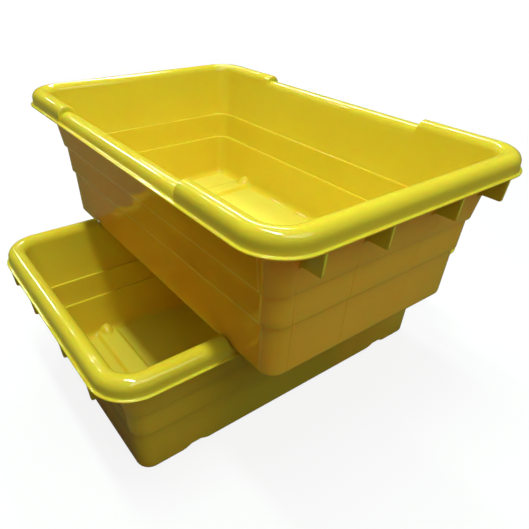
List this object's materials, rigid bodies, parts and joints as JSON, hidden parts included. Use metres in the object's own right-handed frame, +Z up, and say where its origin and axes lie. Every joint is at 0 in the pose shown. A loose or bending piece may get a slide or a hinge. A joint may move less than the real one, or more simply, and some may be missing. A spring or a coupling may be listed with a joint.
{
  "type": "meat lug",
  "caption": "Open-top rectangular plastic meat lugs with rolled rims, cross-stacked: the upper tub, turned a quarter turn, seats in the lowered side rims of the lower tub.",
  "frame": {"origin": "centre of the lower lug's base, on the ground", "axes": "+Z up; X along the lower lug's long side; Y along the upper lug's long side"},
  "size_m": [0.638, 0.638, 0.4038],
  "materials": {
    "lower_plastic": "glossy yellow polyethylene, slightly translucent",
    "upper_plastic": "glossy yellow polyethylene, slightly translucent"
  },
  "bodies": {
    "lower_lug": {"lower_lug": "lower_plastic"},
    "upper_lug": {"upper_lug": "upper_plastic"}
  },
  "joints": [
    {"name": "upper_lug_lift", "type": "slide", "parent": "lower_lug", "child": "upper_lug", "axis": [0, 0, 1], "range_m": [0, 0.2]}
  ]
}
